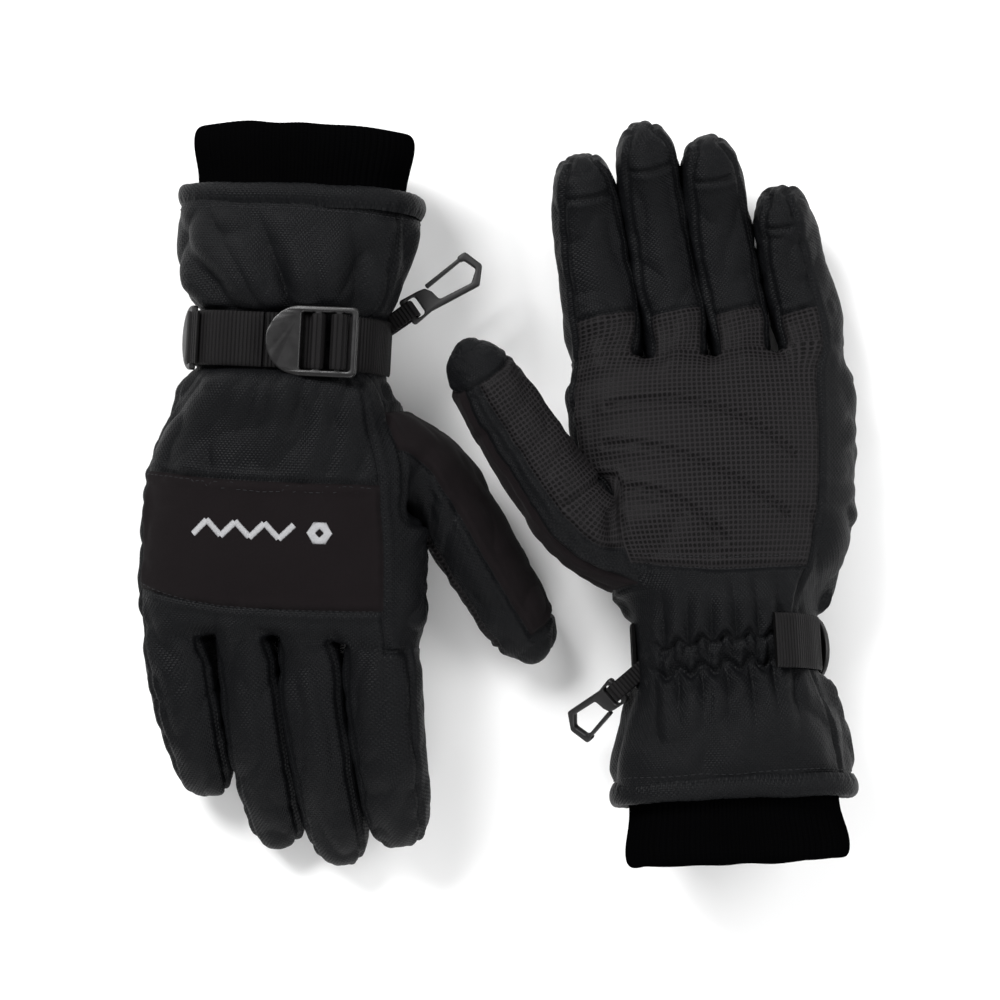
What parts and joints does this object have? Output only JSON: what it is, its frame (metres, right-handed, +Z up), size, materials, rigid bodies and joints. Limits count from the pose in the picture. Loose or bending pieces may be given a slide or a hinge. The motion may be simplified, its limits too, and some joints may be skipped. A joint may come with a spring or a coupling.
{
  "type": "work gloves",
  "caption": "Pair of insulated black work gloves with rib-knit storm cuffs, buckled wrist straps, dotted grip palms, softshell knuckle bands and snap hooks, one laid palm down and one palm up.",
  "frame": {"origin": "centre of the pair's outline on the surface it lies on", "axes": "+Z up; +Y along the gloves, towards the left glove's fingertips and the right glove's cuff; +X from the right glove to the left glove"},
  "size_m": [0.288, 0.306, 0.0736],
  "materials": {
    "twill": "matte black coated nylon twill",
    "softshell": "dull brown-black softshell",
    "grip": "dark grey grip fabric printed with fine raised dots",
    "embroidery": "light grey satin stitch",
    "elastic": "covered elastic",
    "padding": "polyester wadding, not seen",
    "membrane": "thin waterproof film, not seen",
    "lining": "brushed black lining",
    "knit": "black rib knit",
    "webbing": "black ribbed polyester webbing",
    "buckle_plastic": "satin black acetal",
    "hook_plastic": "matte black acetal"
  },
  "bodies": {
    "right_hand": {"right_gauntlet_back": "twill", "right_hand_back": "twill", "right_knuckle_band": "softshell", "right_knuckle_panel": "twill", "right_palm_heel": "twill", "right_palm_patch": "grip", "right_index_side_panel": "twill", "right_little_side_panel": "twill", "right_thumb_gusset": "twill", "right_wrist_elastic": "elastic", "right_insulation": "padding", "right_waterproof_insert": "membrane", "right_lining": "lining", "right_emblem": "embroidery", "right_hem": "twill", "right_knit_cuff": "knit", "right_wrist_strap": "webbing", "right_buckle_tab": "webbing", "right_hook_loop": "webbing"},
    "right_index_finger": {"right_index_finger": "twill"},
    "right_middle_finger": {"right_middle_finger": "twill"},
    "right_ring_finger": {"right_ring_finger": "twill"},
    "right_little_finger": {"right_little_finger": "twill"},
    "right_thumb": {"right_thumb": "twill"},
    "right_buckle": {"right_ladder_lock": "buckle_plastic", "right_strap_loop": "webbing"},
    "right_tail": {"right_strap_tail": "webbing"},
    "right_tab": {"right_pull_tab": "buckle_plastic"},
    "right_hook": {"right_snap_hook": "hook_plastic"},
    "right_gate": {"right_hook_gate": "hook_plastic"},
    "left_hand": {"left_gauntlet_back": "twill", "left_hand_back": "twill", "left_knuckle_band": "softshell", "left_knuckle_panel": "twill", "left_palm_heel": "twill", "left_palm_patch": "grip", "left_index_side_panel": "twill", "left_little_side_panel": "twill", "left_thumb_gusset": "twill", "left_wrist_elastic": "elastic", "left_insulation": "padding", "left_waterproof_insert": "membrane", "left_lining": "lining", "left_emblem": "embroidery", "left_hem": "twill", "left_knit_cuff": "knit", "left_wrist_strap": "webbing", "left_buckle_tab": "webbing", "left_hook_loop": "webbing"},
    "left_index_finger": {"left_index_finger": "twill"},
    "left_middle_finger": {"left_middle_finger": "twill"},
    "left_ring_finger": {"left_ring_finger": "twill"},
    "left_little_finger": {"left_little_finger": "twill"},
    "left_thumb": {"left_thumb": "twill"},
    "left_buckle": {"left_ladder_lock": "buckle_plastic", "left_strap_loop": "webbing"},
    "left_tail": {"left_strap_tail": "webbing"},
    "left_tab": {"left_pull_tab": "buckle_plastic"},
    "left_hook": {"left_snap_hook": "hook_plastic"},
    "left_gate": {"left_hook_gate": "hook_plastic"}
  },
  "joints": [
    {"name": "right_index_finger_flex", "type": "hinge", "parent": "right_hand", "child": "right_index_finger", "pos_m": [-0.05044, -0.06921, 0.04064], "axis": [0.9821, 0.1056, 0.1563], "range_deg": [-12, 60]},
    {"name": "right_middle_finger_flex", "type": "hinge", "parent": "right_hand", "child": "right_middle_finger", "pos_m": [-0.07706, -0.06783, 0.03633], "axis": [0.9821, 0.1056, 0.1563], "range_deg": [-12, 60]},
    {"name": "right_ring_finger_flex", "type": "hinge", "parent": "right_hand", "child": "right_ring_finger", "pos_m": [-0.10368, -0.06645, 0.03202], "axis": [0.9821, 0.1056, 0.1563], "range_deg": [-12, 60]},
    {"name": "right_little_finger_flex", "type": "hinge", "parent": "right_hand", "child": "right_little_finger", "pos_m": [-0.13029, -0.06506, 0.02771], "axis": [0.9821, 0.1056, 0.1563], "range_deg": [-12, 60]},
    {"name": "right_thumb_flex", "type": "hinge", "parent": "right_hand", "child": "right_thumb", "pos_m": [-0.0141, -0.0147, 0.02532], "axis": [0.8728, 0.4698, 0.1321], "range_deg": [-10, 35]},
    {"name": "right_buckle_tilt", "type": "hinge", "parent": "right_hand", "child": "right_buckle", "pos_m": [-0.06392, 0.06197, 0.06882], "axis": [0.0534, 0.9985, -0.0094], "range_deg": [0, 18], "stiffness_Nm_per_rad": 0.01, "springref_deg": -11.46},
    {"name": "right_tail_lift", "type": "hinge", "parent": "right_buckle", "child": "right_tail", "pos_m": [-0.09456, 0.06353, 0.06123], "axis": [0.0534, 0.9985, -0.0094], "range_deg": [0, 90], "stiffness_Nm_per_rad": 0.004, "springref_deg": -28.65},
    {"name": "right_tab_fold", "type": "hinge", "parent": "right_tail", "child": "right_tab", "pos_m": [-0.12381, 0.06497, 0.048], "axis": [0.0534, 0.9985, -0.0094], "range_deg": [0, 60], "stiffness_Nm_per_rad": 0.002, "springref_deg": -17.19},
    {"name": "right_hook_swing", "type": "hinge", "parent": "right_hand", "child": "right_hook", "pos_m": [-0.03726, 0.07602, 0.03508], "axis": [-0.5649, 0.8184, -0.1057], "range_deg": [-78, 62]},
    {"name": "right_gate_press", "type": "hinge", "parent": "right_hook", "child": "right_gate", "pos_m": [-0.02887, 0.08674, 0.0344], "axis": [0.0447, -0.0976, -0.9942], "range_deg": [0, 12], "stiffness_Nm_per_rad": 0.01, "springref_deg": -5.73},
    {"name": "left_index_finger_flex", "type": "hinge", "parent": "left_hand", "child": "left_index_finger", "pos_m": [0.0462, 0.06595, 0.01808], "axis": [0.98, 0.1977, -0.0229], "range_deg": [-12, 60]},
    {"name": "left_middle_finger_flex", "type": "hinge", "parent": "left_hand", "child": "left_middle_finger", "pos_m": [0.07317, 0.06713, 0.01808], "axis": [0.98, 0.1977, -0.0229], "range_deg": [-12, 60]},
    {"name": "left_ring_finger_flex", "type": "hinge", "parent": "left_hand", "child": "left_ring_finger", "pos_m": [0.10015, 0.06831, 0.01808], "axis": [0.98, 0.1977, -0.0229], "range_deg": [-12, 60]},
    {"name": "left_little_finger_flex", "type": "hinge", "parent": "left_hand", "child": "left_little_finger", "pos_m": [0.12712, 0.06949, 0.01808], "axis": [0.98, 0.1977, -0.0229], "range_deg": [-12, 60]},
    {"name": "left_thumb_flex", "type": "hinge", "parent": "left_hand", "child": "left_thumb", "pos_m": [0.01795, 0.01168, 0.04607], "axis": [0.8345, 0.5459, -0.0753], "range_deg": [-10, 35]},
    {"name": "left_buckle_tilt", "type": "hinge", "parent": "left_hand", "child": "left_buckle", "pos_m": [0.0675, -0.06657, 0.00516], "axis": [-0.0431, 0.9883, -0.1464], "range_deg": [0, 18], "stiffness_Nm_per_rad": 0.01, "springref_deg": -11.46},
    {"name": "left_tail_lift", "type": "hinge", "parent": "left_buckle", "child": "left_tail", "pos_m": [0.09895, -0.06482, 0.00773], "axis": [-0.0431, 0.9883, -0.1464], "range_deg": [0, 90], "stiffness_Nm_per_rad": 0.004, "springref_deg": -28.65},
    {"name": "left_tab_fold", "type": "hinge", "parent": "left_tail", "child": "left_tab", "pos_m": [0.12989, -0.06224, 0.01603], "axis": [-0.0431, 0.9883, -0.1464], "range_deg": [0, 60], "stiffness_Nm_per_rad": 0.002, "springref_deg": -17.19},
    {"name": "left_hook_swing", "type": "hinge", "parent": "left_hand", "child": "left_hook", "pos_m": [0.04779, -0.07758, 0.04437], "axis": [-0.6491, 0.7519, -0.1154], "range_deg": [-20, 120]},
    {"name": "left_gate_press", "type": "hinge", "parent": "left_hook", "child": "left_gate", "pos_m": [0.04416, -0.08749, 0.03575], "axis": [0.5868, 0.3984, -0.7049], "range_deg": [0, 12], "stiffness_Nm_per_rad": 0.01, "springref_deg": -5.73},
    {"name": "left_glove_lift", "type": "slide", "parent": "right_hand", "child": "left_hand", "axis": [0, 0, 1], "range_m": [0, 0.25]}
  ]
}
